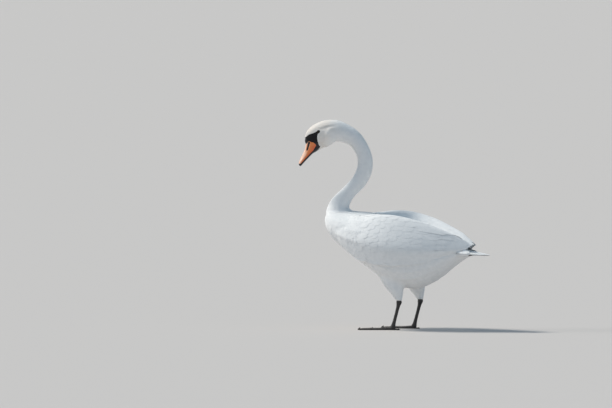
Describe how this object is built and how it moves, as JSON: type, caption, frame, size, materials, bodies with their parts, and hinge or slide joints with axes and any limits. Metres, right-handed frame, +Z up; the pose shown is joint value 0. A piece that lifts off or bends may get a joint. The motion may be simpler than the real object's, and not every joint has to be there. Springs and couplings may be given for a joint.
{
  "type": "mute swan",
  "caption": "Life-size still model of a white mute swan that stands on both feet with its neck bent in an S, its head lowered, an orange bill under a black knob, and folded wings.",
  "frame": {"origin": "On the floor, under the middle of the bird's box.", "axes": "+Z is up. The bird's breast faces -X and its tail points to +X. Its left side is -Y. The neck and head turn about 22 degrees to its left."},
  "size_m": [0.7274, 0.2904, 0.7495],
  "materials": {
    "plumage": "matt white feathers, faintly cream on the crown",
    "bill": "smooth orange horn with a soft gloss",
    "bill_dark": "black bare skin and horn, satin",
    "eye": "wet, very dark brown",
    "leg_skin": "blackish grey scaled skin, satin"
  },
  "bodies": {
    "root": {"head": "plumage", "neck_crest": "plumage", "neck_middle": "plumage", "neck_root": "plumage", "trunk": "plumage", "tail": "plumage", "wing_left": "plumage", "wing_right": "plumage", "thigh_left": "plumage", "thigh_right": "plumage", "bill_upper": "bill", "bill_lower": "bill_dark", "bill_knob": "bill_dark", "eye_left": "eye", "eye_right": "eye", "shank_left": "leg_skin", "shank_right": "leg_skin", "foot_left": "leg_skin", "foot_right": "leg_skin"}
  },
  "joints": []
}
